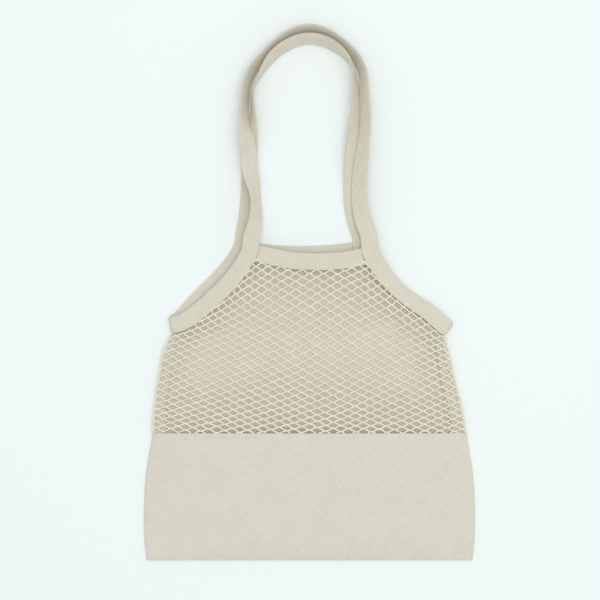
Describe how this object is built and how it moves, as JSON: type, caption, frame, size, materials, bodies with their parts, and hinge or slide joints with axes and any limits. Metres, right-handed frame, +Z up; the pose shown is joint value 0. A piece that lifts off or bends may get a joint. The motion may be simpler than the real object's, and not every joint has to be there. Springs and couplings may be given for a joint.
{
  "type": "mesh produce bag",
  "caption": "Flat-lying produce bag with a knotted net front, canvas back and base pocket, and two shoulder-length tape handles.",
  "frame": {"origin": "middle of the bag's outline on the surface it lies on", "axes": "+X across the bag to the viewer's right, +Y from the bottom seam to the handles, +Z up out of the net front"},
  "size_m": [0.38, 0.614, 0.0227],
  "materials": {
    "canvas": "matt plain-weave cotton canvas, natural off-white",
    "tape": "matt cotton twill tape, natural off-white",
    "yarn": "matt twisted cotton yarn, natural cream",
    "thread": "off-white sewing thread with a slight sheen"
  },
  "bodies": {
    "root": {"back_panel": "canvas", "front_canvas_panel": "canvas", "canvas_top_hem": "canvas", "canvas_hem_stitching": "thread", "left_side_seam": "canvas", "right_side_seam": "canvas", "bottom_seam": "canvas", "back_top_band": "tape", "back_top_band_stitching": "thread", "back_left_binding": "tape", "back_left_binding_stitching": "thread", "back_right_binding": "tape", "back_right_binding_stitching": "thread", "left_corner_wrap": "tape", "right_corner_wrap": "tape"},
    "front": {"front_net": "yarn", "front_top_band": "tape", "front_top_band_stitching": "thread", "front_left_binding": "tape", "front_left_binding_stitching": "thread", "front_right_binding": "tape", "front_right_binding_stitching": "thread"},
    "front_handle": {"front_handle_strap": "tape", "front_handle_stitching": "thread"},
    "back_handle": {"back_handle_strap": "tape", "back_handle_stitching": "thread"}
  },
  "joints": [
    {"name": "mouth_open", "type": "hinge", "parent": "root", "child": "front", "pos_m": [0, -0.1615, 0.0076], "axis": [1, 0, 0], "range_deg": [0, 25]},
    {"name": "front_handle_swing", "type": "hinge", "parent": "front", "child": "front_handle", "pos_m": [0, 0.0565, 0.011], "axis": [1, 0, 0], "range_deg": [0, 155]},
    {"name": "back_handle_swing", "type": "hinge", "parent": "root", "child": "back_handle", "pos_m": [0, 0.06, 0], "axis": [1, 0, 0], "range_deg": [-170, 0]}
  ]
}
